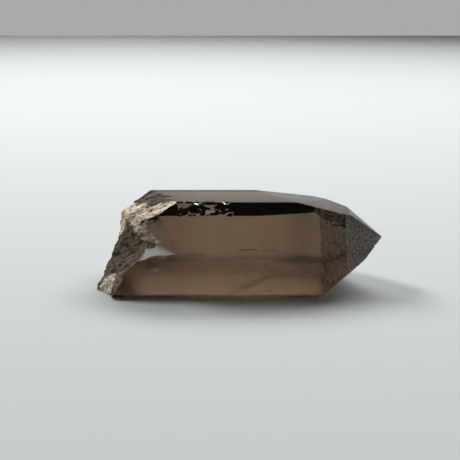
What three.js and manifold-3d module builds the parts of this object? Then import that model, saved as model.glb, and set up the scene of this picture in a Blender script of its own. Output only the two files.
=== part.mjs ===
// A smoky quartz point, lying on one of its six prism faces.
// It grew as one crystal: a six-sided prism with a rhombohedral point at one end and a rough break at the other.
// Millimetres. +X runs along the crystal to its point, +Y to its back, +Z up.
import * as THREE from "three";
import { mergeVertices } from "three/addons/utils/BufferGeometryUtils.js";
import Module from "manifold-3d";

const wasm = await Module();
wasm.setup();

// Driving sizes. The working frame has its origin on the lower front edge of the prism.
const HEIGHT = 21.3; // from the resting face to the top face
const TOP_WIDTH = 13.6; // across the top face
const LOW_FRONT_WIDTH = 1.2; // the sliver of a face under the front
const LOW_BACK_WIDTH = 11.9; // the lower of the two back faces
const POINT = new THREE.Vector3(38.8, 14.8, 11.4); // the tip of the point
const BREAK_TIP = new THREE.Vector3(-33, 7.5, 0); // the far end of the break, on the resting face
const BLANK = 220; // side of the block that the faces are cut from

// Angles of quartz: prism faces turn by 60 degrees, and each face of the point leans in by 38.2 degrees.
const PRISM_TURN = 60;
const POINT_LEAN = 38.2;

const radians = THREE.MathUtils.degToRad;
const vector = (x, y, z) => new THREE.Vector3(x, y, z);

// The cross-section: six corners, with y to the back and z up.
const walk = ([y, z], degrees, length) => [
  y + length * Math.cos(radians(degrees)),
  z + length * Math.sin(radians(degrees)),
];
const FRONT_WIDTH = HEIGHT / Math.sin(radians(PRISM_TURN)) - LOW_FRONT_WIDTH;
const REST_WIDTH = TOP_WIDTH + FRONT_WIDTH - LOW_BACK_WIDTH;
const lowerFront = [0, 0];
const middleFront = walk(lowerFront, 120, LOW_FRONT_WIDTH);
const upperFront = walk(middleFront, 60, FRONT_WIDTH);
const upperBack = walk(upperFront, 0, TOP_WIDTH);
const lowerBack = walk(lowerFront, 0, REST_WIDTH);

// Each prism face by the way it looks, in degrees up from the viewer, with one corner that it passes through.
// spare is how far the face of the point above it stands off from the tip.
const PRISM = [
  { looks: -90, corner: lowerFront, spare: 0.15 },
  { looks: -30, corner: lowerFront, spare: 6.2 },
  { looks: 30, corner: middleFront, spare: 0 },
  { looks: 90, corner: upperFront, spare: 0 },
  { looks: 150, corner: upperBack, spare: 0.4 },
  { looks: 210, corner: lowerBack, spare: 2.0 },
];
const prismNormal = (looks) =>
  vector(0, -Math.cos(radians(looks)), Math.sin(radians(looks)));

// Near the point three of the prism faces bend in by a few degrees, in flat growth steps.
// x is where a step starts, on the line through the given place on the face. The step falls by some degrees,
// along a heading in degrees from +X to the left of the face as it is seen from outside.
const GROWTH_STEPS = [
  {
    looks: 90,
    through: [17, HEIGHT],
    steps: [
      { x: 12.3, fall: 8.3, heading: 35 },
      { x: 21.1, fall: 13, heading: 1 },
    ],
  },
  {
    looks: 30,
    through: middleFront,
    steps: [
      { x: 22.4, fall: 1.6, heading: 0 },
      { x: 25.6, fall: 4.2, heading: 0 },
    ],
  },
  {
    looks: 210,
    through: lowerBack,
    steps: [
      { x: 8, fall: 4.5, heading: 0 },
      { x: 19.5, fall: 9, heading: 0 },
    ],
  },
];
// A worn growth face under the point, between the resting side and the front.
const UNDER_POINT = { normal: vector(0.615, -0.251, -0.749), point: vector(28.3, 1.7, 4.9) };

// The break: three leaning fracture faces, each x = start + toBack * (y - BREAK_TIP.y) + up * z.
const BREAK_FACES = [
  { start: BREAK_TIP.x, toBack: -0.6, up: 0.783 }, // the rough slope seen from the front
  { start: BREAK_TIP.x, toBack: 0.3, up: 0.106 }, // the hidden slope at the back
  { start: -55.4, toBack: -0.544, up: 2.08 }, // the shoulder that runs up to the top face
];
const SWELLS = [
  { y: 19.5, z: 17, rise: 0.5, spread: 2.5 }, // the lumpy top of the ridge
  { y: 4, z: 10, rise: -1.9, spread: 4.6 }, // the hollow beside the front face
  { y: 9, z: 12, rise: -3.6, spread: 4.5 }, // the hollow behind the bright ledge
  { y: 26, z: 18, rise: -3.4, spread: 2.8 }, // the worn corner under the top face
];
const BREAK_GRAIN = 0.55; // side of one facet of the rough surface
const LEDGES = { along: 5.2, across: 2.3, step: 0.7, tilt: 0.3 }; // hackly ledges, longer up the slope
const CRUMBS = { along: 1.7, across: 1.2, step: 0.28, tilt: 0.42 }; // the smaller facets on them
const LEDGE_RUN = 62; // the way the ledges run, in degrees up from the back

// A notch behind the front face at the broken end: a bright ledge and the wall that rises from it.
const LEDGE_FLOOR = { normal: vector(-0.095, -0.495, 0.864), point: vector(-15.4, 4.3, 9.5) };
const LEDGE_WALL = { normal: vector(-0.504, -0.832, 0.234), point: vector(-13.76, 5, 10.73) };

// Chips, each an ellipsoid: centre, half-lengths, turn about X in degrees, and how finely it curves.
const CHIPS = [
  { at: [-18.1, -2.9, 12.05], half: [8, 8, 8], turn: 0, detail: 11 }, // the shell-shaped scar under the ledge
  { at: [-11.3, 10.7, 21.7], half: [2.6, 1.9, 1.9], turn: 30, detail: 0 }, // the chipped top edge
  { at: [-7.9, 10.8, 21.8], half: [1.5, 1.3, 1.2], turn: 12, detail: 0 },
  { at: [-4.9, 10.6, 21.6], half: [2.1, 1.3, 1.5], turn: 40, detail: 1 },
  { at: [-0.7, 10.8, 21.8], half: [1.7, 1.1, 1.2], turn: 65, detail: 0 },
  { at: [-16.4, 17.4, 21.9], half: [2.5, 0.8, 0.95], turn: 8, detail: 1 }, // a pit in the top face by the break
  { at: [37.1, 12.3, 9.5], half: [0.9, 0.7, 0.7], turn: 20, detail: 0 }, // the nick under the tip
];

// A closed geometry as a solid, with its shared corners merged.
function solidOf(geometry) {
  const bare = geometry.clone();
  bare.deleteAttribute("normal");
  bare.deleteAttribute("uv");
  const merged = mergeVertices(bare, 1e-4);
  return new wasm.Manifold(
    new wasm.Mesh({
      numProp: 3,
      vertProperties: new Float32Array(merged.attributes.position.array),
      triVerts: new Uint32Array(merged.index.array),
    }),
  );
}

// A solid's surface as a flat-shaded geometry.
function geometryOf(solid) {
  const mesh = solid.getMesh();
  const geometry = new THREE.BufferGeometry();
  geometry.setAttribute("position", new THREE.BufferAttribute(mesh.vertProperties, mesh.numProp));
  geometry.setIndex(new THREE.BufferAttribute(mesh.triVerts, 1));
  const flat = geometry.toNonIndexed();
  flat.computeVertexNormals();
  return flat;
}

// The block of space outside a plane.
function outside(normal, point) {
  const direction = normal.clone().normalize();
  const block = new THREE.BoxGeometry(BLANK, BLANK, BLANK);
  block.applyQuaternion(new THREE.Quaternion().setFromUnitVectors(vector(0, 0, 1), direction));
  const centre = direction.multiplyScalar(BLANK / 2).add(point);
  block.translate(centre.x, centre.y, centre.z);
  return solidOf(block);
}

// The six prism faces, and above each the face of the point.
function crystalFaces() {
  const lean = radians(POINT_LEAN);
  return PRISM.flatMap(({ looks, corner, spare }) => {
    const side = prismNormal(looks);
    const end = side.clone().multiplyScalar(Math.cos(lean));
    end.x = Math.sin(lean);
    return [
      { normal: side, point: vector(0, ...corner) },
      { normal: end, point: POINT.clone().addScaledVector(end, spare) },
    ];
  });
}

// The growth steps that bend one face in, each starting on the one before it.
function growthSteps({ looks, through, steps }) {
  const upright = prismNormal(looks);
  const across = upright.clone().cross(vector(1, 0, 0));
  const start = vector(0, ...through);
  let slope = 0;
  return steps.map(({ x, fall, heading }) => {
    start.addScaledVector(upright, -slope * (x - start.x)).setX(x);
    const along = across.clone().multiplyScalar(Math.sin(radians(heading)));
    along.x = Math.cos(radians(heading));
    const normal = upright
      .clone()
      .multiplyScalar(Math.cos(radians(fall)))
      .addScaledVector(along, Math.sin(radians(fall)));
    slope = Math.tan(radians(fall)) * along.x;
    return { normal, point: start.clone() };
  });
}

// A repeatable number from 0 to 1 for a cell of a grid.
function chance(i, j, salt) {
  const wave = Math.sin(i * 127.1 + j * 311.7 + salt * 74.7) * 43758.5453;
  return wave - Math.floor(wave);
}

// Hackly fracture: each cell of a jittered grid is its own small tilted facet, with a short slope to the next.
function hackle(u, v, { along, across, step, tilt }) {
  const row = Math.floor(u / along);
  const column = Math.floor(v / across);
  const near = [];
  for (let i = row - 1; i <= row + 1; i++) {
    for (let j = column - 1; j <= column + 1; j++) {
      const du = u / along - i - chance(i, j, 1);
      const dv = v / across - j - chance(i, j, 2);
      const lift = step * (2 * chance(i, j, 3) - 1);
      const slope = tilt * across * ((2 * chance(i, j, 4) - 1) * du + (2 * chance(i, j, 5) - 1) * dv);
      near.push({ distance: Math.hypot(du, dv), height: lift + slope });
    }
  }
  near.sort((a, b) => a.distance - b.distance);
  const [first, second] = near;
  const inside = THREE.MathUtils.smoothstep(second.distance - first.distance, 0, 0.18);
  return THREE.MathUtils.lerp((first.height + second.height) / 2, first.height, inside);
}

// Where the rough break stands at a place on the section.
function breakSurface(y, z) {
  const heights = BREAK_FACES.map(({ start, toBack, up }) => start + toBack * (y - BREAK_TIP.y) + up * z);
  const swell = SWELLS.reduce((sum, { y: back, z: up, rise, spread }) => {
    const away = Math.hypot(y - back, z - up) / spread;
    return sum + rise * Math.exp(-away * away);
  }, 0);
  const run = radians(LEDGE_RUN);
  const u = y * Math.cos(run) + z * Math.sin(run);
  const v = z * Math.cos(run) - y * Math.sin(run);
  return Math.max(...heights) - swell + hackle(u, v, LEDGES) + hackle(u, v, CRUMBS);
}

// Everything beyond the rough break, as a block with one rough side.
function brokenAway() {
  const margin = 4;
  const depth = lowerBack[0] + LOW_BACK_WIDTH / 2 + 2 * margin;
  const tall = HEIGHT + 2 * margin;
  const rows = Math.round(depth / BREAK_GRAIN);
  const columns = Math.round(tall / BREAK_GRAIN);
  const block = new THREE.BoxGeometry(BLANK, depth, tall, 1, rows, columns);
  block.translate(-BLANK / 2, depth / 2 - margin, tall / 2 - margin);
  const places = block.attributes.position;
  for (let i = 0; i < places.count; i++) {
    if (places.getX(i) > -BLANK / 2) places.setX(i, breakSurface(places.getY(i), places.getZ(i)));
  }
  return solidOf(block);
}

// One chip.
function chip({ at, half, turn, detail }) {
  const shell = new THREE.IcosahedronGeometry(1, detail);
  shell.scale(...half);
  shell.rotateX(radians(turn));
  shell.translate(...at);
  return solidOf(shell);
}

function growCrystal() {
  const blank = solidOf(new THREE.BoxGeometry(BLANK, BLANK, BLANK));
  const faces = [...crystalFaces(), ...GROWTH_STEPS.flatMap(growthSteps), UNDER_POINT];
  let solid = faces.reduce((grown, { normal, point }) => grown.subtract(outside(normal, point)), blank);
  solid = solid.subtract(brokenAway());
  const floor = outside(LEDGE_FLOOR.normal, LEDGE_FLOOR.point);
  solid = solid.subtract(floor.intersect(outside(LEDGE_WALL.normal, LEDGE_WALL.point)));
  return CHIPS.reduce((left, one) => left.subtract(chip(one)), solid);
}

// The smoky brown of the crystal, with the natural gloss of its faces.
const smokyQuartz = new THREE.MeshStandardMaterial({
  name: "smoky quartz",
  color: new THREE.Color(0.36, 0.27, 0.2),
  roughness: 0.12,
  metalness: 0,
  transparent: true,
  opacity: 0.6,
});

// The part's frame has its origin under the middle of the crystal's box, on the resting face.
const shape = geometryOf(growCrystal());
shape.computeBoundingBox();
const middle = shape.boundingBox.getCenter(vector(0, 0, 0));
shape.translate(-middle.x, -middle.y, -shape.boundingBox.min.z);

const crystal = new THREE.Mesh(shape, smokyQuartz);
crystal.name = "crystal";

const part = new THREE.Group();
part.name = "smoky quartz point";
part.add(crystal);

export default part;
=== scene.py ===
"""A smoky quartz point lying on one of its prism faces, on a plain pale stage."""

import math

import bmesh
import bpy
from bpy.props import FloatProperty, FloatVectorProperty, IntProperty, PointerProperty
from bpy.types import Operator, Panel, PropertyGroup
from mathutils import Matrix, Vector, noise


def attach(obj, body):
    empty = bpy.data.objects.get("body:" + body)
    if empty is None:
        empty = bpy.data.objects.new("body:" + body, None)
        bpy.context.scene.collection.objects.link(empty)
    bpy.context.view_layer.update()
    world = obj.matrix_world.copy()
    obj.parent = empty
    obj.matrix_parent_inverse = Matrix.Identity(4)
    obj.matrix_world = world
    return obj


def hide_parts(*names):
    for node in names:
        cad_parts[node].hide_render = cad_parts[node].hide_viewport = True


bl_info = {
    "name": "Smoky quartz point",
    "version": (1, 0, 0),
    "blender": (4, 5, 0),
    "location": "3D View > Sidebar > Quartz",
    "description": "Dresses a smoky quartz point and sets a plain stage for it",
    "category": "Object",
}

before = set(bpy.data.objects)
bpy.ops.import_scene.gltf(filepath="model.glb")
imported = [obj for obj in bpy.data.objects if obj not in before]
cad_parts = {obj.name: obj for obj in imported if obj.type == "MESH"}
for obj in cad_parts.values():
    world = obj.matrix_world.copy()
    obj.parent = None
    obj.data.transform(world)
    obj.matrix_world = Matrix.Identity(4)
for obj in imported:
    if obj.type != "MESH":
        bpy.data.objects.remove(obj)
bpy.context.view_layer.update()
NODE = "crystal"
MM = 0.001
SAME_PLACE = 1e-7  # corners nearer than this are one
FLAT_WITHIN = math.radians(0.6)  # facets that meet at less than this are one face


def looking(degrees):
    """The way that a prism face looks, in degrees up from the viewer."""
    return Vector((0, -math.cos(math.radians(degrees)), math.sin(math.radians(degrees))))


# The ways that faces look. X runs along the crystal to its point, Y to its back and Z up.
TOP = looking(90)
FRONT = looking(30)
LOWER_BACK = looking(210)
LOWER_FRONT = looking(-30)
BOTTOM = looking(-90)
LEDGE = Vector((-0.095, -0.495, 0.864)).normalized()
LEDGE_WALL = Vector((-0.504, -0.832, 0.234)).normalized()
STRAIGHT_FACES = {
    "ledge": LEDGE,
    "front": FRONT,
    "milk": LOWER_BACK,
    "lower_front_painted_shade": LOWER_FRONT,
    "bottom": BOTTOM,
    "clear": TOP,
}
SAME_WAY = 0.999  # the cosine for a face that looks just that way
NEARLY = 0.97  # and for one that is bent from it by a growth step
BENT = 0.02  # how much a growth step looks along the crystal
POINT_LOOK = 0.5  # faces of the point look at least this much along the crystal
FLAT_FACE = 5 * MM**2  # a facet larger than this is a crystal face
BREAK_END = 0  # smaller facets up to this place along the crystal are broken ones
SCAR = Vector((-20.78, -18.12, 12.05)) * MM  # the centre that the shell-shaped scar curves about
SCAR_RADIUS = 8 * MM
SCAR_SLACK = 0.2 * MM
SCAR_MIDDLE = Vector((-20.8, -11.6, 8.3)) * MM  # on the scar itself
CHIPPED_START = -15.8 * MM  # the upper front edge is chipped between these places along the crystal
CHIPPED_END = -1.8 * MM
CHIPPED_LOW = 17.9 * MM  # and down to this height

# The finish of each kind of face, as the values that its material reads.
FINISHES = {
    "clear": {},
    # The front face and the scar get veils, cracks, and painted light and shade.
    "front": {"marks": 1.0},
    "chipped": {},
    "frost": {"frost": 1.0, "etch": 0.6},
    "speckle": {"frost": 0.6},
    "milk": {"milk": 1.0, "etch": 1.0},
    "bottom": {"etch": 0.188},
    "ripple": {"ripple": 1.0},
    "break": {"fracture": 1.0},
    "wall": {"grime": 0.2},
    "ledge": {"ledge": 1.0},
    "scar": {"marks": 1.0},
    # The lower front sliver is darkened strongly: painted shade.
    "lower_front_painted_shade": {"grime": 0.75},
}
KINDS = tuple(FINISHES)
FINISH_NAMES = sorted({name for finish in FINISHES.values() for name in finish})
BROKEN = ("break", "wall")  # kinds whose facets are divided and crumbled
FLAT_SHADED = ("clear", "front", "chipped", "wall", "milk", "bottom", "lower_front_painted_shade")
SHARP_EDGE = math.radians(28)  # facets that meet at more than this keep their edge
# The sides of the squares that faces with a relief are cut into.
SQUARES = {
    "chipped": 0.3 * MM,
    "frost": 0.3 * MM,
    "speckle": 0.3 * MM,
    "ripple": 0.35 * MM,
    "wall": 0.4 * MM,
    "ledge": 0.6 * MM,
}
LONG_EDGE = 1.1 * MM  # edges of the break longer than this are divided once before the rest

# Where the pale crust lies on the break, and the pale paint for a glint on the chipped edge: places, and how
# far it reaches from each.
# These and the next two lists are in millimetres.
CRUST_AND_GLINT_SPOTS = (
    ((-29.7, 4.3, 16.6), 4.6),
    ((-26.3, 1.0, 17.4), 4.4),
    ((-22.0, -2.4, 18.8), 3.8),
    ((-18.0, -4.2, 20.2), 3.2),
    ((-30.4, 2.8, 13.6), 3.6),
    ((-25.6, -3.2, 15.6), 3.2),
    ((-32.5, -9.8, 1.4), 3.6),
    ((-22.9, -6.4, 13.8), 2.4),
    # The last two are a glint on the chipped edge: painted highlight.
    ((-8.2, -5.4, 19.15), 0.8),
    ((-7.0, -5.2, 19.55), 0.8),
)
# Where pale spots, painted for the glints of the wall's chips, lie on the wall behind the ledge, how far
# they reach, and then how thickly they lie.
WALL_GLINT_SPOTS = (
    ((-24.6, -4.2, 14.6), 3.0),
    ((-23.4, -5.6, 12.8), 2.6),
    ((-20.6, -7.4, 12.0), 2.0),
)
WALL_GLINT_COVER = 0.3
# Where the wall's chips have fallen on the ledge, and how far they reach.
RUBBLE = (((-22.5, -6.4, 11.6), 2.1),)


class CrystalSettings(PropertyGroup):
    """Sizes and colours of the crystal."""

    smoke_color: FloatVectorProperty(
        name="Smoke colour",
        description="Colour of the light that passes through the crystal",
        subtype="COLOR",
        size=3,
        min=0,
        max=1,
        default=(0.431, 0.349, 0.241),
    )
    smoke_density: FloatProperty(
        name="Smoke density",
        description="How quickly the crystal darkens with depth, per metre",
        default=116,
        min=0,
    )
    bending: FloatProperty(
        name="Refractive index",
        description="How strongly the crystal bends light",
        default=1.544,
        min=1,
    )
    # The glints painted on the chipped edge and the wall take this crust colour too.
    crust_and_glint_color: FloatVectorProperty(
        name="Crust colour",
        description="Colour of the pale crust on the break",
        subtype="COLOR",
        size=3,
        min=0,
        max=1,
        default=(0.95, 0.84, 0.67),
    )
    stain_color: FloatVectorProperty(
        name="Stain colour",
        description="Colour of the rusty stains in the crust",
        subtype="COLOR",
        size=3,
        min=0,
        max=1,
        default=(0.5, 0.31, 0.12),
    )
    fracture_color: FloatVectorProperty(
        name="Fracture colour",
        description="Colour of the dull film on the break",
        subtype="COLOR",
        size=3,
        min=0,
        max=1,
        default=(0.25, 0.175, 0.11),
    )
    # The ledge is painted near-white for the bright reflection on it.
    ledge_painted_reflection_color: FloatVectorProperty(
        name="Ledge colour",
        description="Colour of the bright ledge",
        subtype="COLOR",
        size=3,
        min=0,
        max=1,
        default=(0.95, 0.92, 0.84),
    )
    break_cuts: IntProperty(
        name="Break detail",
        description="How often each facet of the break is divided",
        default=2,
        min=0,
        max=3,
    )
    crumble: FloatProperty(
        name="Crumble",
        description="Height of the fine crumble on the break",
        unit="LENGTH",
        default=0.32 * MM,
        min=0,
        precision=6,
    )
    chips: FloatProperty(
        name="Chips",
        description="Height of the chips on the wall behind the ledge",
        unit="LENGTH",
        default=0.6 * MM,
        min=0,
        precision=6,
    )
    flakes: FloatProperty(
        name="Flakes",
        description="Depth of the flakes chipped from the upper front edge",
        unit="LENGTH",
        default=0.5 * MM,
        min=0,
        precision=6,
    )
    lumps: FloatProperty(
        name="Crust lumps",
        description="Height of the lumps of the crust",
        unit="LENGTH",
        default=0.9 * MM,
        min=0,
        precision=6,
    )
    grain: FloatProperty(
        name="Frost grain",
        description="Height of the grain on the frosted faces of the point",
        unit="LENGTH",
        default=0.08 * MM,
        min=0,
        precision=6,
    )
    ripples: FloatProperty(
        name="Ripples",
        description="Height of the growth ripples on the front face near the point",
        unit="LENGTH",
        default=0.1 * MM,
        min=0,
        precision=6,
    )


class StageSettings(PropertyGroup):
    """Floor, light and camera."""

    floor_color: FloatVectorProperty(
        name="Floor colour",
        description="Colour of the pale floor",
        subtype="COLOR",
        size=3,
        min=0,
        max=1,
        default=(0.56, 0.59, 0.59),
    )
    back_power: FloatProperty(
        name="Back light",
        description="Power of the soft light behind the crystal",
        unit="POWER",
        default=4.8,
        min=0,
    )
    side_power: FloatProperty(
        name="Side light",
        description="Power of the weaker soft light at the broken end",
        unit="POWER",
        default=2.1,
        min=0,
    )
    light_spread: FloatProperty(
        name="Light spread",
        description="How wide the beams of the soft lights are",
        subtype="ANGLE",
        default=math.radians(75),
    )
    backdrop: FloatProperty(
        name="Backdrop",
        description="Brightness of the room low behind the crystal",
        default=0.37,
        min=0,
    )
    glow: FloatProperty(
        name="Glow",
        description="Brightness of the room higher up behind the crystal, just below the light",
        default=0.15,
        min=0,
    )
    point_glow: FloatProperty(
        name="Point glow",
        description="Added brightness of the room beyond the crystal's point",
        default=0.1,
        min=0,
    )
    fill: FloatProperty(
        name="Fill",
        description="Brightness of the dim room everywhere else",
        default=0.03,
        min=0,
    )
    camera_pitch: FloatProperty(
        name="Camera pitch",
        description="How far the camera looks down",
        subtype="ANGLE",
        default=math.radians(15.5),
    )
    camera_distance: FloatProperty(
        name="Camera distance",
        description="From the camera to the point that it looks at",
        unit="LENGTH",
        default=0.235,
    )
    camera_target: FloatVectorProperty(
        name="Camera target",
        description="The point that the camera looks at",
        subtype="TRANSLATION",
        size=3,
        default=(-2.68 * MM, -7.22 * MM, 15 * MM),
    )
    camera_lens: FloatProperty(
        name="Camera lens",
        description="Focal length on a 36 mm sensor",
        unit="CAMERA",
        default=74.3,
    )


def merged_copy(node):
    """The mesh of a solid with its corners merged and its flat faces made whole."""
    bm = bmesh.new()
    bm.from_mesh(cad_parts[node].data)
    bmesh.ops.remove_doubles(bm, verts=bm.verts, dist=SAME_PLACE)
    bmesh.ops.dissolve_limit(bm, angle_limit=FLAT_WITHIN, verts=bm.verts, edges=bm.edges)
    bmesh.ops.dissolve_degenerate(bm, edges=bm.edges, dist=SAME_PLACE)
    return bm


def is_chipped(place):
    """Whether a place lies within the length and height of the chipped edge."""
    return CHIPPED_START < place.x < CHIPPED_END and place.z > CHIPPED_LOW


def is_large_front(face):
    """Whether this is a large face that looks the front way."""
    return face.normal.dot(FRONT) > SAME_WAY and face.calc_area() > FLAT_FACE


def kind_of_small_face(face):
    """Which kind of face a small facet is, from its place."""
    middle = face.calc_center_median()
    if abs((middle - SCAR).length - SCAR_RADIUS) < SCAR_SLACK:
        return "scar"
    if is_chipped(middle) or middle.x > BREAK_END:
        return "clear"
    return "break"


def kind_of_face(face):
    """Which kind of face this is, from its size, its place and the way it looks."""
    way = face.normal
    for name, straight in STRAIGHT_FACES.items():
        if way.x < BENT and way.dot(straight) > SAME_WAY:
            return "chipped" if name == "front" and is_chipped(face.calc_center_median()) else name
    if face.calc_area() < FLAT_FACE:
        return kind_of_small_face(face)
    if way.dot(LEDGE_WALL) > SAME_WAY:
        return "wall"
    if way.x > POINT_LOOK:
        return "frost"
    if way.dot(LOWER_BACK) > NEARLY:
        return "milk"
    if way.x > BENT and way.dot(TOP) > NEARLY:
        return "speckle"
    if way.x > BENT and way.dot(FRONT) > NEARLY:
        return "ripple"
    return "clear"


def faces_of(bm, *names):
    """The faces of the given kinds."""
    kind = bm.faces.layers.int["kind"]
    return [face for face in bm.faces if KINDS[face[kind]] in names]


def inside(bm, parts, *names):
    """Those of some corners or edges that lie wholly within faces of the given kinds."""
    kind = bm.faces.layers.int["kind"]
    return [part for part in parts if all(KINDS[face[kind]] in names for face in part.link_faces)]


def nearness(place, spots):
    """How near a place is to the closest of several spots, from 0 to 1."""
    return max(max(0, 1 - (place - Vector(middle) * MM).length / (reach * MM)) for middle, reach in spots)


def part_chipped_strip(bm):
    """Cuts the front face along the borders of its chipped strip."""
    for place, way in (
        ((CHIPPED_START, 0, 0), (1, 0, 0)),
        ((CHIPPED_END, 0, 0), (1, 0, 0)),
        ((0, 0, CHIPPED_LOW), (0, 0, 1)),
    ):
        fronts = [face for face in bm.faces if is_large_front(face)]
        parts = dict.fromkeys(part for face in fronts for part in (face, *face.edges, *face.verts))
        bmesh.ops.bisect_plane(bm, geom=list(parts), dist=SAME_PLACE, plane_co=place, plane_no=way)


def divide_face(bm, face, side):
    """Cuts a flat face into small squares, up to its edges."""
    across = face.normal.cross(Vector((1, 0, 0))).normalized()
    parts = [face, *face.edges, *face.verts]
    for way in (across, across.cross(face.normal)):
        reach = [part.co.dot(way) for part in parts if isinstance(part, bmesh.types.BMVert)]
        start = min(reach)
        length = max(reach) - start
        count = math.ceil(length / side)
        for cut in range(1, count):
            place = way * (start + length * cut / count)
            made = bmesh.ops.bisect_plane(bm, geom=parts, dist=SAME_PLACE, plane_co=place, plane_no=way)
            parts = made["geom"]


def spill_rubble(bm):
    """Turns the squares of the ledge that lie under fallen chips into wall."""
    kind = bm.faces.layers.int["kind"]
    for face in faces_of(bm, "ledge"):
        if nearness(face.calc_center_median(), RUBBLE) > 0:
            face[kind] = KINDS.index("wall")


def mark_kinds(bm):
    """Notes the kind of every face, and divides the faces that get a relief."""
    part_chipped_strip(bm)
    kind = bm.faces.layers.int.new("kind")
    for face in bm.faces:
        face[kind] = KINDS.index(kind_of_face(face))
    for name, side in SQUARES.items():
        for face in faces_of(bm, name):
            divide_face(bm, face, side)
    spill_rubble(bm)


def divide_break(bm, cuts):
    """Divides the facets of the break, the long ones first, up to where they meet a crystal face."""
    for longer_than, times in ((LONG_EDGE, 1), (0, cuts)):
        bmesh.ops.triangulate(bm, faces=faces_of(bm, *BROKEN))
        long_edges = [edge for edge in inside(bm, bm.edges, *BROKEN) if edge.calc_length() > longer_than]
        bmesh.ops.subdivide_edges(bm, edges=long_edges, cuts=times)
    bmesh.ops.triangulate(bm, faces=faces_of(bm, *BROKEN))
    bm.normal_update()


def mark_crust(bm):
    """Notes how thickly the pale crust lies on each corner of the break, and the pale paint for glints on
    the chipped edge and the wall.
    """
    crust = bm.verts.layers.float.new("crust")
    for vert in inside(bm, bm.verts, "break", "chipped"):
        vert[crust] = nearness(vert.co, CRUST_AND_GLINT_SPOTS)
    for vert in inside(bm, bm.verts, "wall"):
        vert[crust] = nearness(vert.co, WALL_GLINT_SPOTS) * WALL_GLINT_COVER


# The relief: how large its waves are, and how its parts share the heights in the settings.
STREAK_RUN = math.radians(62)  # the way that the break's streaks run, up from the back
STREAK_LONG = 1.7 * MM
STREAK_WIDE = 0.8 * MM
STREAK_MEAN = 0.6  # taken off, so that the streaks go in as well as out
STREAK_OCTAVES = 4
BLOCK = 1.6 * MM
BLOCK_SHARE = 0.6
LUMP = 0.9 * MM
CRUST_FILL = 0.6  # how far the thickest crust evens out the crumble
CHIP = 1.3 * MM
FLAKE = 1.5 * MM
FROST_GRAIN = 0.8 * MM
BENT_FROST = 0.4  # the grain on the bent top faces, as a share of that on the point
RIPPLE_LONG = 1.0 * MM
RIPPLE_WIDE = 0.5 * MM
OCTAVES = 2
SHARP = True  # noise whose waves meet in creases
SOFT = False
LIFT_SHARE = 0.6  # the most that relief moves a corner, as a share of its shortest edge


def along_streaks(place):
    """A place measured along and across the streaks of the break, for stretched noise."""
    along = place.y * math.cos(STREAK_RUN) + place.z * math.sin(STREAK_RUN)
    across = place.z * math.cos(STREAK_RUN) - place.y * math.sin(STREAK_RUN)
    return Vector((along / STREAK_LONG, across / STREAK_WIDE, place.x / STREAK_WIDE))


def crumble_height(place, crust, settings):
    """The streaks and blocks of the break, and the lumps of the crust where it lies on them."""
    streaks = noise.turbulence(along_streaks(place), STREAK_OCTAVES, SHARP) - STREAK_MEAN
    blocks = noise.noise(place / BLOCK)
    lumps = noise.turbulence(place / LUMP, OCTAVES, SOFT)
    rough = (streaks + BLOCK_SHARE * blocks) * settings.crumble
    return rough * (1 - CRUST_FILL * crust) + crust * lumps * settings.lumps


def chip_height(place, settings):
    """The chips on the wall behind the ledge."""
    return noise.turbulence(place / CHIP, OCTAVES, SHARP) * settings.chips


def flake_height(place, settings):
    """The flakes missing from the chipped edge."""
    return -noise.turbulence(place / FLAKE, OCTAVES, SHARP) * settings.flakes


def grain_height(place, settings):
    """The grain of the frosted faces."""
    return noise.turbulence(place / FROST_GRAIN, OCTAVES, SOFT) * settings.grain


def ripple_height(place, settings):
    """The growth ripples, which run along the crystal."""
    stretched = Vector((place.x / RIPPLE_LONG, place.y / RIPPLE_WIDE, place.z / RIPPLE_WIDE))
    return noise.noise(stretched) * settings.ripples


def lift(verts, height):
    """Moves corners out along their normals by their own heights, but not so far that facets fold over."""
    moves = []
    for vert in verts:
        room = LIFT_SHARE * min(edge.calc_length() for edge in vert.link_edges)
        moves.append(vert.normal * max(-room, min(room, height(vert))))
    for vert, move in zip(verts, moves):
        vert.co += move


def roughen(bm, settings):
    """Raises the relief of the break, the wall, the chipped edge, the frosted faces and the rippled ones."""
    crust = bm.verts.layers.float["crust"]
    for names, height in (
        (BROKEN, lambda vert: crumble_height(vert.co, vert[crust], settings)),
        (("wall",), lambda vert: chip_height(vert.co, settings)),
        (("chipped",), lambda vert: flake_height(vert.co, settings)),
        (("frost",), lambda vert: grain_height(vert.co, settings)),
        (("speckle",), lambda vert: BENT_FROST * grain_height(vert.co, settings)),
        (("ripple",), lambda vert: ripple_height(vert.co, settings)),
    ):
        lift(inside(bm, bm.verts, *names), height)


def mark_finishes(bm):
    """Writes each face's finish where its material can read it, and softens the shading within a finish."""
    kind = bm.faces.layers.int["kind"]
    layers = {name: bm.faces.layers.float.new(name) for name in FINISH_NAMES}
    for face in bm.faces:
        name_of_kind = KINDS[face[kind]]
        face.smooth = name_of_kind not in FLAT_SHADED
        for name, amount in FINISHES[name_of_kind].items():
            face[layers[name]] = amount
    for edge in bm.edges:
        alike = len({face[kind] for face in edge.link_faces}) == 1
        edge.smooth = alike and edge.calc_face_angle(0) < SHARP_EDGE


def make_crystal_mesh(settings):
    """The crystal's mesh, from its solid, with its relief and its finishes."""
    bm = merged_copy(NODE)
    mark_kinds(bm)
    divide_break(bm, settings.break_cuts)
    mark_crust(bm)
    roughen(bm, settings)
    mark_finishes(bm)
    if not all(edge.is_manifold for edge in bm.edges):
        raise RuntimeError("The crystal's mesh has an open edge")
    mesh = bpy.data.meshes.new("smoky_quartz")
    bm.to_mesh(mesh)
    bm.free()
    return mesh


def put(tree, socket, value):
    """Links a node's output to a socket, or sets the socket to a plain value."""
    if isinstance(value, bpy.types.NodeSocket):
        tree.links.new(value, socket)
    else:
        socket.default_value = value


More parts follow.
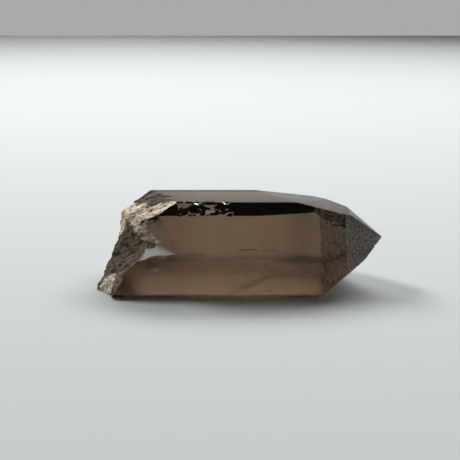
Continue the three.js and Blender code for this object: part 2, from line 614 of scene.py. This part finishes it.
def add_node(tree, kind, **values):
    """A new node with its inputs set; an underscore stands for a space in an input's name."""
    node = tree.nodes.new(kind)
    for name, value in values.items():
        put(tree, node.inputs[name.replace("_", " ")], value)
    return node


def calculate(tree, operation, *values):
    """The result of one step of arithmetic."""
    node = tree.nodes.new("ShaderNodeMath")
    node.operation = operation
    for socket, value in zip(node.inputs, values):
        put(tree, socket, value)
    return node.outputs["Value"]


def difference(tree, first, second):
    """The first value less the second."""
    return calculate(tree, "SUBTRACT", first, second)


def product(tree, *values):
    """Several values multiplied together."""
    total = values[0]
    for value in values[1:]:
        total = calculate(tree, "MULTIPLY", total, value)
    return total


def largest(tree, *values):
    """The largest of several values."""
    most = values[0]
    for value in values[1:]:
        most = calculate(tree, "MAXIMUM", most, value)
    return most


def weighted_sum(tree, start, *terms):
    """A value plus several others, each times its own weight."""
    total = start
    for value, weight in terms:
        total = calculate(tree, "MULTIPLY_ADD", value, weight, total)
    return total


def apart(tree, first, second):
    """How far two values are from each other."""
    return calculate(tree, "ABSOLUTE", difference(tree, first, second))


def rising(tree, value, low, high):
    """Rises smoothly from 0 to 1 as a value goes from low to high."""
    node = tree.nodes.new("ShaderNodeMapRange")
    node.interpolation_type = "SMOOTHSTEP"
    put(tree, node.inputs["Value"], value)
    put(tree, node.inputs["From Min"], low)
    put(tree, node.inputs["From Max"], high)
    return node.outputs["Result"]


def falling(tree, value, low, high):
    """Falls smoothly from 1 to 0 as a value goes from low to high."""
    return difference(tree, 1, rising(tree, value, low, high))


def mix_colors(tree, factor, first, second):
    """The first colour where the factor is 0 and the second where it is 1."""
    node = tree.nodes.new("ShaderNodeMix")
    node.data_type = "RGBA"
    factor_socket, first_socket, second_socket = node.inputs[0], node.inputs[6], node.inputs[7]
    put(tree, factor_socket, factor)
    put(tree, first_socket, first)
    put(tree, second_socket, second)
    return node.outputs[2]


def opaque(color):
    """A colour with the fourth value that a socket wants."""
    return (*color, 1)


def object_place(tree):
    """Where a point of the surface is."""
    return tree.nodes.new("ShaderNodeTexCoord").outputs["Object"]


def speckle(tree, size, detail, bend=0):
    """Noise from 0 to 1 whose spots are about the given size."""
    spots = add_node(
        tree, "ShaderNodeTexNoise", Vector=object_place(tree), Scale=1 / size, Detail=detail, Distortion=bend
    )
    return spots.outputs["Fac"]


def finish_value(tree, name):
    """What the mesh says of one finish."""
    node = tree.nodes.new("ShaderNodeAttribute")
    node.attribute_name = name
    return node.outputs["Fac"]


# The spots in the finishes: about how large they are, and how many finer layers they have.
PATCHES = (1.2 * MM, 4)
GRIT = (0.4 * MM, 4)
GRAINS = (0.65 * MM, 4)
# Pale spots on the frosted faces are painted glints.
GLINT_FLECKS = (0.55 * MM, 2)
STAINS = (1.1 * MM, 3)
CLOUDS = (7 * MM, 3)
ETCHING = (0.12 * MM, 1)
SQUIGGLES = (1.1 * MM, 1)
SQUIGGLE_BEND = 1.5  # how much the noise of the squiggles is bent
SQUIGGLE_LINE = 0.5  # the value of that noise along a crest between squiggles
# The values of those patterns between which something comes in.
CRUST_BORDER = (0.74, 0.88)
CRUST_NEAR = (0, 0.1)
FILM_BORDER = (0.15, 0.6)
PIT_BORDER = (0.48, 0.6)
STAIN_BORDER = (0.5, 0.68)
CLOUD_BORDER = (0.3, 0.7)
GRAIN_BORDER = (0.38, 0.64)
GLINT_FLECK_BORDER = (0.64, 0.72)
SQUIGGLE_BORDER = (0, 0.09)
CREST_BORDER = (0, 0.08)
# How far the patches and the grit fray the border of the crust.
PATCHES_FRAY = 0.9
GRIT_FRAY = 0.3
# The lower back face gets painted shade at its foot, below these heights, and towards both ends.
MILK_FOOT = (0, 2.4 * MM)
MILK_MIDDLE = -2.7 * MM
MILK_ENDS = (4 * MM, 22 * MM)
CLOUD_SHADE = 0.15
FOOT_SHADE = 0.5
END_SHADE = 0.6
# The front face gets a painted warm light beyond these places along the crystal, below these heights.
WARM_START = (4 * MM, 18 * MM)
WARM_TOP = (1 * MM, 4 * MM)
# The scar's painted shade along its lower rim: how far from its middle it begins and ends, and the heights
# that it stays below.
RIM_START = (1.8 * MM, 2.3 * MM)
RIM_END = (2.5 * MM, 3.1 * MM)
RIM_TOP = (6.6 * MM, 8.2 * MM)
# Dark veils and cracks seen in the front face, and two bands of painted shade, in millimetres: their ends as
# places along and up, their width, and last their strength.
MARKS_AND_SHADE_BANDS = (
    ((-1.8, 1.7), (8.0, 5.4), 1.2, 1.0),
    # A darker wedge towards the point: painted shade.
    ((7.0, 5.2), (21.0, 6.0), 2.4, 0.5),
    # A dark band low across the front face: painted shade.
    ((-13.0, 6.9), (8.0, 6.9), 1.6, 0.45),
    ((-12.5, 9.7), (-8.8, 9.6), 0.3, 1.2),
    ((-0.3, 10.7), (4.2, 10.8), 0.3, 1.2),
    ((5.4, 10.6), (9.1, 10.5), 0.3, 1.0),
)
MARK_FADE = 0.8 * MM  # how far each way the ends of a mark fade
MARK_GAPS = 0.4  # what is left of a mark in the gaps between its grains
# How dark the grains of the frost and the squiggles are.
GRAIN_SHADE = 0.9
SQUIGGLE_SHADE = 0.8
# The colours that the finishes give to the light.
CLEAR_COLOR = (1, 1, 1)
MILK_COLOR = (1.0, 0.66, 0.46)
# Colour of the warm light painted low on the front face.
PAINTED_WARM_LIGHT_COLOR = (1.0, 0.74, 0.4)
# Dark colour for darker tones and for painted shade.
DARK_AND_PAINTED_SHADE_COLOR = (0.08, 0.06, 0.045)
# Colour of the glints painted on the frosted faces.
GLINT_PAINT_COLOR = (0.85, 0.74, 0.6)
CREST_COLOR = (0.5, 0.28, 0.19)
# Painted shade in the pits of the break.
PAINTED_PIT_SHADE_COLOR = (0.1, 0.07, 0.045)
# How much of the light some layers keep from passing.
FILM_COVER = 0.55
GLINT_PAINT_COVER = 0.8
CREST_COVER = 0.6
# The ledge is made nearly opaque so that its painted reflection shows.
LEDGE_PAINTED_REFLECTION_COVER = 0.9
# How rough the clear faces are, and what the finishes add.
POLISH = 0.03
ADDED_ROUGHNESS = {"frost": 0.22, "etch": 0.2, "fracture": 0.85, "ledge": 0.3}
CRUST_ROUGHNESS = 0.35
# How deep the grit of the finishes and the etching are, as shares of the depth.
GRIT_SHARES = {"frost": 1.2, "fracture": 1.0, "ledge": 0.15}
ETCHING_SHARE = 0.7
RELIEF_DEPTH = 0.15 * MM
RELIEF_STRENGTH = 0.8


def crust_and_glint_cover(tree, finish, patches, grit):
    """1 where the pale crust and the painted glints lie, with a frayed border, and 0 elsewhere."""
    frayed = weighted_sum(tree, finish["crust"], (patches, PATCHES_FRAY), (grit, GRIT_FRAY))
    near = rising(tree, finish["crust"], *CRUST_NEAR)
    return product(tree, rising(tree, frayed, *CRUST_BORDER), near)


def find_spots(tree, finish):
    """The patterns that several parts of the finish share, each from 0 to 1."""
    patches = speckle(tree, *PATCHES)
    grit = speckle(tree, *GRIT)
    glint_flecks = rising(tree, speckle(tree, *GLINT_FLECKS), *GLINT_FLECK_BORDER)
    off_crest = apart(tree, speckle(tree, *SQUIGGLES, SQUIGGLE_BEND), SQUIGGLE_LINE)
    return {
        "patches": patches,
        "grit": grit,
        "grains": rising(tree, speckle(tree, *GRAINS), *GRAIN_BORDER),
        "painted_glints": product(tree, finish["frost"], glint_flecks),
        "squiggles": product(tree, finish["ripple"], rising(tree, off_crest, *SQUIGGLE_BORDER)),
        "crests": product(tree, finish["ripple"], falling(tree, off_crest, *CREST_BORDER)),
        "crust_and_glints": crust_and_glint_cover(tree, finish, patches, grit),
    }


def milk_clouds_and_painted_shade(tree, place):
    """How dark the lower back face is: clouded, and with painted shade at its foot and towards both ends."""
    clouds = rising(tree, speckle(tree, *CLOUDS), *CLOUD_BORDER)
    foot = falling(tree, place["Z"], *MILK_FOOT)
    ends = rising(tree, apart(tree, place["X"], MILK_MIDDLE), *MILK_ENDS)
    return weighted_sum(tree, 0.0, (clouds, CLOUD_SHADE), (foot, FOOT_SHADE), (ends, END_SHADE))


def scar_rim_painted_shade(tree, place):
    """1 along the lower rim of the scar, where shade is painted, and 0 away from it."""
    from_scar = add_node(tree, "ShaderNodeVectorMath", Vector=object_place(tree))
    from_scar.operation = "DISTANCE"
    from_scar.inputs[1].default_value = SCAR_MIDDLE
    away = from_scar.outputs["Value"]
    ring = difference(tree, rising(tree, away, *RIM_START), rising(tree, away, *RIM_END))
    return product(tree, ring, falling(tree, place["Z"], *RIM_TOP))


def front_mark(tree, place, start, end, width):
    """1 along a line in the front face, and 0 away from it."""
    steep = (end[1] - start[1]) / (end[0] - start[0])
    rise = weighted_sum(tree, (start[1] - start[0] * steep) * MM, (place["X"], steep))
    line = falling(tree, apart(tree, place["Z"], rise), 0, width * MM)
    begun = rising(tree, place["X"], start[0] * MM - MARK_FADE, start[0] * MM + MARK_FADE)
    ended = rising(tree, place["X"], end[0] * MM - MARK_FADE, end[0] * MM + MARK_FADE)
    return product(tree, line, difference(tree, begun, ended))


def front_marks_and_shade_bands(tree, place, grains):
    """The dark veils and cracks of the front face, and its bands of painted shade, broken up into grains."""
    lines = [(front_mark(tree, place, *line), strength) for *line, strength in MARKS_AND_SHADE_BANDS]
    broken_up = weighted_sum(tree, MARK_GAPS, (grains, 1 - MARK_GAPS))
    return product(tree, weighted_sum(tree, 0.0, *lines), broken_up)


def darkness_and_painted_shade(tree, finish, place, spots):
    """How dark the faces are: darker tones of their own, and painted shade on the lower front sliver, the
    scar's rim, bands in the front face and the foot and ends of the lower back face.
    """
    return weighted_sum(
        tree,
        finish["grime"],
        (finish["marks"], scar_rim_painted_shade(tree, place)),
        (finish["marks"], front_marks_and_shade_bands(tree, place, spots["grains"])),
        (finish["milk"], milk_clouds_and_painted_shade(tree, place)),
        (product(tree, finish["frost"], spots["grains"]), GRAIN_SHADE),
        (spots["squiggles"], SQUIGGLE_SHADE),
    )


def front_painted_warm_light(tree, finish, place):
    """1 low on the front face near the point, where a warm light is painted, and 0 elsewhere."""
    along = rising(tree, place["X"], *WARM_START)
    above = rising(tree, place["Z"], *WARM_TOP)
    return product(tree, finish["marks"], largest(tree, difference(tree, along, above), 0))


def break_color(tree, settings, patches):
    """The dull film on the break, with painted shade in its pits."""
    pits = rising(tree, patches, *PIT_BORDER)
    return mix_colors(tree, pits, opaque(settings.fracture_color), opaque(PAINTED_PIT_SHADE_COLOR))


def crust_and_glint_color(tree, settings):
    """The pale crust, with rusty stains; the glints painted on the chipped edge and the wall take this
    colour too.
    """
    stains = rising(tree, speckle(tree, *STAINS), *STAIN_BORDER)
    return mix_colors(tree, stains, opaque(settings.crust_and_glint_color), opaque(settings.stain_color))


def quartz_color(tree, settings, finish, place, spots):
    """The colour of the faces, with each layer laid over the ones before it."""
    color = opaque(CLEAR_COLOR)
    for cover, layer in (
        (finish["milk"], opaque(MILK_COLOR)),
        (front_painted_warm_light(tree, finish, place), opaque(PAINTED_WARM_LIGHT_COLOR)),
        (darkness_and_painted_shade(tree, finish, place, spots), opaque(DARK_AND_PAINTED_SHADE_COLOR)),
        (spots["painted_glints"], opaque(GLINT_PAINT_COLOR)),
        (spots["crests"], opaque(CREST_COLOR)),
        (finish["fracture"], break_color(tree, settings, spots["patches"])),
        (spots["crust_and_glints"], crust_and_glint_color(tree, settings)),
        (finish["ledge"], opaque(settings.ledge_painted_reflection_color)),
    ):
        color = mix_colors(tree, cover, color, layer)
    return color


def quartz_clearness(tree, finish, spots):
    """How much of the light passes: all of it on clear faces, none under the crust and the pale paint for
    glints, and little on the ledge under its painted reflection.
    """
    film = product(tree, finish["fracture"], rising(tree, spots["patches"], *FILM_BORDER))
    hidden = largest(
        tree,
        product(tree, film, FILM_COVER),
        product(tree, spots["painted_glints"], GLINT_PAINT_COVER),
        product(tree, spots["crests"], CREST_COVER),
        spots["crust_and_glints"],
        product(tree, finish["ledge"], LEDGE_PAINTED_REFLECTION_COVER),
    )
    return difference(tree, 1, hidden)


def quartz_roughness(tree, finish, spots):
    """How rough the faces are."""
    added = [(finish[name], amount) for name, amount in ADDED_ROUGHNESS.items()]
    return weighted_sum(tree, POLISH, *added, (spots["crust_and_glints"], CRUST_ROUGHNESS))


def quartz_relief(tree, finish, grit):
    """The surface's normal, with the grit of rough faces and the fine etching."""
    shares = [(finish[name], share) for name, share in GRIT_SHARES.items()]
    coarse = product(tree, grit, weighted_sum(tree, 0.0, *shares))
    etched = product(tree, speckle(tree, *ETCHING), finish["etch"])
    height = weighted_sum(tree, coarse, (etched, ETCHING_SHARE))
    bump = add_node(tree, "ShaderNodeBump", Height=height, Distance=RELIEF_DEPTH, Strength=RELIEF_STRENGTH)
    return bump.outputs["Normal"]


def quartz_material(settings):
    """Clear smoky quartz with a frosted point, a dull break, a pale stained crust, a ledge painted bright
    for its reflection, painted glints, and painted light and shade in places.
    """
    material = bpy.data.materials.new("smoky_quartz")
    material.use_nodes = True
    tree = material.node_tree
    tree.nodes.clear()
    finish = {name: finish_value(tree, name) for name in (*FINISH_NAMES, "crust")}
    place = add_node(tree, "ShaderNodeSeparateXYZ", Vector=object_place(tree)).outputs
    spots = find_spots(tree, finish)
    shader = add_node(
        tree,
        "ShaderNodeBsdfPrincipled",
        Base_Color=quartz_color(tree, settings, finish, place, spots),
        Roughness=quartz_roughness(tree, finish, spots),
        IOR=settings.bending,
        Transmission_Weight=quartz_clearness(tree, finish, spots),
        Normal=quartz_relief(tree, finish, spots["grit"]),
    )
    smoke = add_node(
        tree,
        "ShaderNodeVolumeAbsorption",
        Color=opaque(settings.smoke_color),
        Density=settings.smoke_density,
    )
    output = tree.nodes.new("ShaderNodeOutputMaterial")
    put(tree, output.inputs["Surface"], shader.outputs["BSDF"])
    put(tree, output.inputs["Volume"], smoke.outputs["Volume"])
    return material


class QUARTZ_OT_crystal(Operator):
    """Make the crystal from its solid"""

    bl_idname = "quartz.crystal"
    bl_label = "Crystal"

    def execute(self, context):
        settings = context.scene.quartz_crystal
        mesh = make_crystal_mesh(settings)
        mesh.materials.append(quartz_material(settings))
        piece = bpy.data.objects.new("smoky_quartz", mesh)
        context.scene.collection.objects.link(piece)
        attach(piece, "root")
        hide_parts(NODE)
        return {"FINISHED"}


# The stage, in metres.
FLOOR_HALF = 2.5
FLOOR_END = 0.9  # how far the floor reaches behind the crystal
FLOOR_GAP = -0.08 * MM  # the floor lies this little under the crystal
FLOOR_ROUGHNESS = 0.9
BACK_LIGHT = {"place": (0.35, 1.0, 0.82), "aim": (0.12, 0.22, 0), "size": (1.4, 0.3)}
SIDE_LIGHT = {"place": (-0.72, 0.72, 0.8), "aim": (0, 0, 0), "size": (0.4, 0.4)}
# The room's brightness follows the way of the view. Each pair is a range of one part of that way.
BACKDROP_SIDE = (0.0, 0.4)  # to the back, where the backdrop comes in
BACKDROP_GLOW = (0.28, 0.36)  # up, where the backdrop turns to the glow
BACKDROP_TOP = (0.45, 0.6)  # up, where the glow fades
POINT_SIDE = (0.2, 0.8)  # along the crystal, where the room brightens beyond the point
ROOM_COLOR = (1, 1, 1)
SENSOR_WIDTH = 36  # of the camera, in millimetres
NEAREST_VIEW = 1 * MM
LIGHT_BOUNCES = 24  # enough for light to find its way out of the crystal


def floor_material(color):
    """A plain dull finish."""
    material = bpy.data.materials.new("pale_floor")
    material.use_nodes = True
    shader = material.node_tree.nodes["Principled BSDF"]
    shader.inputs["Base Color"].default_value = opaque(color)
    shader.inputs["Roughness"].default_value = FLOOR_ROUGHNESS
    return material


def make_floor(context, color):
    """A wide plain floor just under the crystal."""
    bm = bmesh.new()
    bmesh.ops.create_grid(bm, x_segments=1, y_segments=1, size=FLOOR_HALF)
    bmesh.ops.translate(bm, verts=bm.verts, vec=(0, FLOOR_END - FLOOR_HALF, FLOOR_GAP))
    mesh = bpy.data.meshes.new("pale_floor")
    bm.to_mesh(mesh)
    bm.free()
    mesh.materials.append(floor_material(color))
    floor = bpy.data.objects.new("pale_floor", mesh)
    context.scene.collection.objects.link(floor)


def make_soft_box(context, name, place, aim, size, power, spread):
    """A large soft light."""
    data = bpy.data.lights.new(name, "AREA")
    data.shape = "RECTANGLE"
    data.size, data.size_y = size
    data.energy = power
    data.spread = spread
    light = bpy.data.objects.new(name, data)
    light.location = place
    light.rotation_mode = "QUATERNION"
    light.rotation_quaternion = (light.location - Vector(aim)).to_track_quat("Z", "Y")
    context.scene.collection.objects.link(light)


def make_room(context, settings):
    """A dim room that is brighter low behind the crystal, and a little brighter beyond its point."""
    world = bpy.data.worlds.new("dim_room")
    world.use_nodes = True
    tree = world.node_tree
    way = tree.nodes.new("ShaderNodeTexCoord").outputs["Generated"]
    parts = add_node(tree, "ShaderNodeSeparateXYZ", Vector=way).outputs
    behind = rising(tree, parts["Y"], *BACKDROP_SIDE)
    low = falling(tree, parts["Z"], *BACKDROP_TOP)
    glow = rising(tree, parts["Z"], *BACKDROP_GLOW)
    backdrop = weighted_sum(tree, settings.backdrop, (glow, settings.glow - settings.backdrop))
    beyond = rising(tree, parts["X"], *POINT_SIDE)
    dim = weighted_sum(tree, settings.fill, (beyond, settings.point_glow))
    background = tree.nodes["Background"]
    background.inputs["Color"].default_value = opaque(ROOM_COLOR)
    put(tree, background.inputs["Strength"], weighted_sum(tree, dim, (product(tree, low, behind), backdrop)))
    context.scene.world = world


def make_camera(context, settings):
    """The camera, in front of the crystal and looking down at it."""
    data = bpy.data.cameras.new("camera")
    data.lens = settings.camera_lens
    data.sensor_width = SENSOR_WIDTH
    data.clip_start = NEAREST_VIEW
    camera = bpy.data.objects.new("camera", data)
    back = Vector((0, -math.cos(settings.camera_pitch), math.sin(settings.camera_pitch)))
    camera.location = Vector(settings.camera_target) + back * settings.camera_distance
    camera.rotation_mode = "QUATERNION"
    camera.rotation_quaternion = back.to_track_quat("Z", "Y")
    context.scene.collection.objects.link(camera)
    context.scene.camera = camera


class QUARTZ_OT_stage(Operator):
    """Set the floor, light and camera"""

    bl_idname = "quartz.stage"
    bl_label = "Stage"

    def execute(self, context):
        settings = context.scene.quartz_stage
        make_floor(context, settings.floor_color)
        for name, layout, power in (
            ("back_light", BACK_LIGHT, settings.back_power),
            ("side_light", SIDE_LIGHT, settings.side_power),
        ):
            make_soft_box(context, name, **layout, power=power, spread=settings.light_spread)
        make_room(context, settings)
        make_camera(context, settings)
        context.scene.view_settings.view_transform = "Standard"
        context.scene.cycles.max_bounces = LIGHT_BOUNCES
        context.scene.cycles.transmission_bounces = LIGHT_BOUNCES
        return {"FINISHED"}


class QUARTZ_PT_panel(Panel):
    """Lists the crystal and its stage"""

    bl_idname = "QUARTZ_PT_panel"
    bl_label = "Smoky quartz"
    bl_space_type = "VIEW_3D"
    bl_region_type = "UI"
    bl_category = "Quartz"

    def draw(self, context):
        for operator, settings in (
            (QUARTZ_OT_crystal, context.scene.quartz_crystal),
            (QUARTZ_OT_stage, context.scene.quartz_stage),
        ):
            box = self.layout.box()
            for name in settings.bl_rna.properties.keys():
                if name not in {"rna_type", "name"}:
                    box.prop(settings, name)
            box.operator(operator.bl_idname)


CLASSES = (
    CrystalSettings,
    StageSettings,
    QUARTZ_OT_crystal,
    QUARTZ_OT_stage,
    QUARTZ_PT_panel,
)


def register():
    """Makes the settings, operators and panel known."""
    for cls in CLASSES:
        bpy.utils.register_class(cls)
    bpy.types.Scene.quartz_crystal = PointerProperty(type=CrystalSettings)
    bpy.types.Scene.quartz_stage = PointerProperty(type=StageSettings)


def unregister():
    """Takes them away again."""
    del bpy.types.Scene.quartz_stage
    del bpy.types.Scene.quartz_crystal
    for cls in reversed(CLASSES):
        bpy.utils.unregister_class(cls)


def main():
    """Makes the crystal and its stage."""
    register()
    bpy.ops.quartz.crystal()
    bpy.ops.quartz.stage()


if __name__ == "__main__":
    main()
